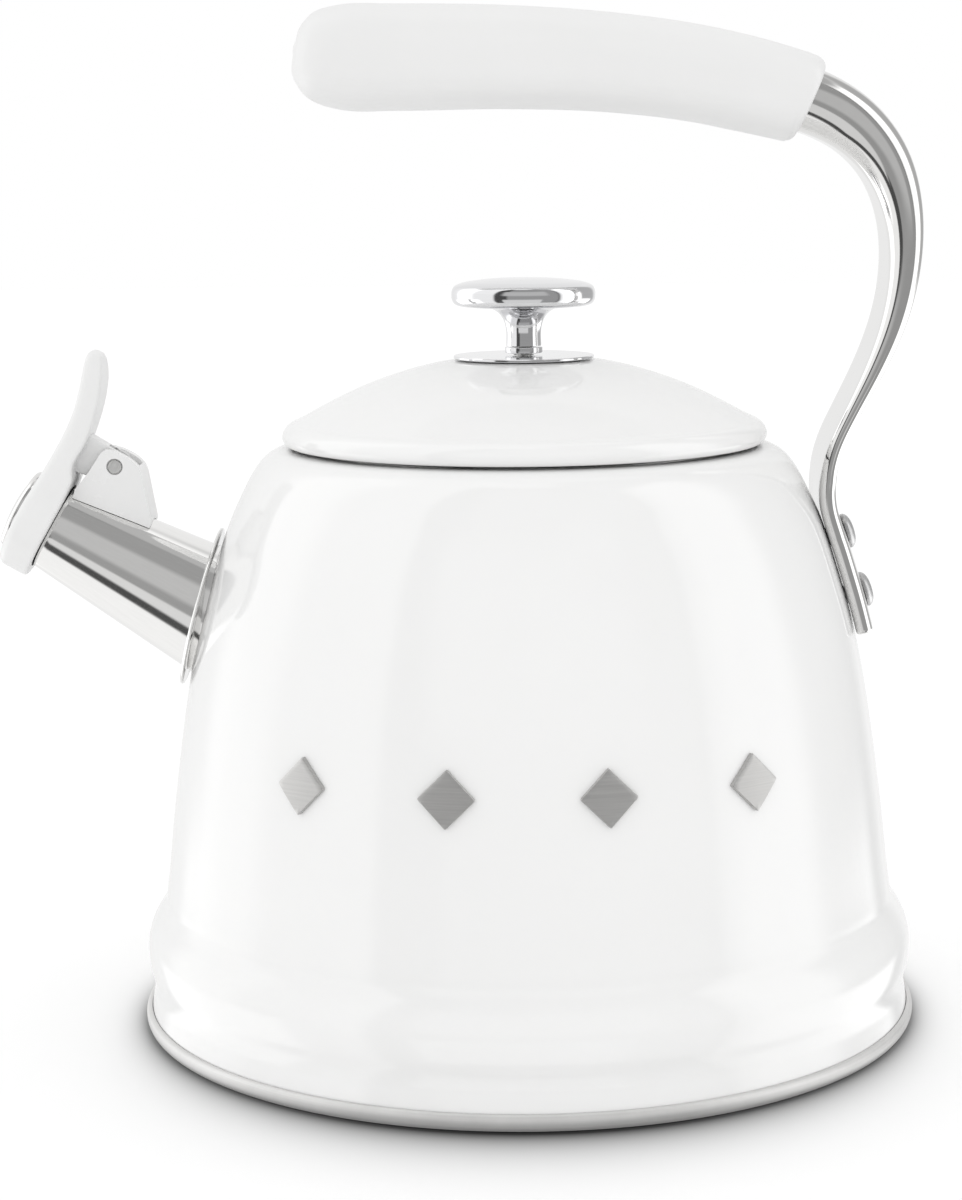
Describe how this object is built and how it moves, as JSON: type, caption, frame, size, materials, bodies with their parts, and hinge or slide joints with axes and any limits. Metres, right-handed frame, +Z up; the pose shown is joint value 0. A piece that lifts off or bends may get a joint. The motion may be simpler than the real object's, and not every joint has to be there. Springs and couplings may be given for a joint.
{
  "type": "stovetop whistling kettle",
  "caption": "Bell-shaped enamelled kettle with a lift-off lid, a tapered side spout whose sprung flap holds the whistle, and a grip on a single arched bar",
  "frame": {"origin": "centre of the base, on the surface that the kettle stands on", "axes": "+Z up, -X towards the spout, +X towards the handle's foot, Y across"},
  "size_m": [0.2322, 0.198, 0.2554],
  "materials": {
    "enamel": "glossy white enamel",
    "base_steel": "satin, turned",
    "core_aluminium": "pressed",
    "inner_steel": "plain",
    "knob_chrome": "mirror polished",
    "polished_steel": "mirror polished",
    "white_plastic": "satin white",
    "seal_rubber": "matt dark",
    "rivet_metal": "satin",
    "ornament_steel": "fine brushed"
  },
  "bodies": {
    "kettle": {"body_shell": "enamel", "base_cap": "base_steel", "base_core": "core_aluminium", "spout_tube": "polished_steel", "spout_collar": "polished_steel", "spout_bracket": "white_plastic", "hinge_pin": "inner_steel", "flap_spring": "inner_steel", "handle_bar": "polished_steel", "grip_sleeve": "white_plastic", "rivet_upper": "rivet_metal", "rivet_lower": "rivet_metal", "rivet_upper_washer": "rivet_metal", "rivet_lower_washer": "rivet_metal", "ornament_1": "ornament_steel", "ornament_2": "ornament_steel", "ornament_3": "ornament_steel", "ornament_4": "ornament_steel"},
    "lid": {"lid_shell": "enamel", "lid_skirt": "inner_steel", "knob": "knob_chrome", "knob_collar": "knob_chrome", "knob_plate": "knob_chrome", "knob_screw": "inner_steel", "knob_washer": "inner_steel"},
    "flap": {"whistle_flap": "white_plastic", "whistle_face_disc": "polished_steel", "whistle_back_plate": "polished_steel", "whistle_seal": "seal_rubber"}
  },
  "joints": [
    {"name": "lid_lift", "type": "slide", "parent": "kettle", "child": "lid", "axis": [0, 0, 1], "range_m": [0, 0.036]},
    {"name": "flap_hinge", "type": "hinge", "parent": "kettle", "child": "flap", "pos_m": [-0.10294, 0, 0.14199], "axis": [0, 1, 0], "range_deg": [0, 55], "stiffness_Nm_per_rad": 0.01, "springref_deg": -20.05}
  ]
}
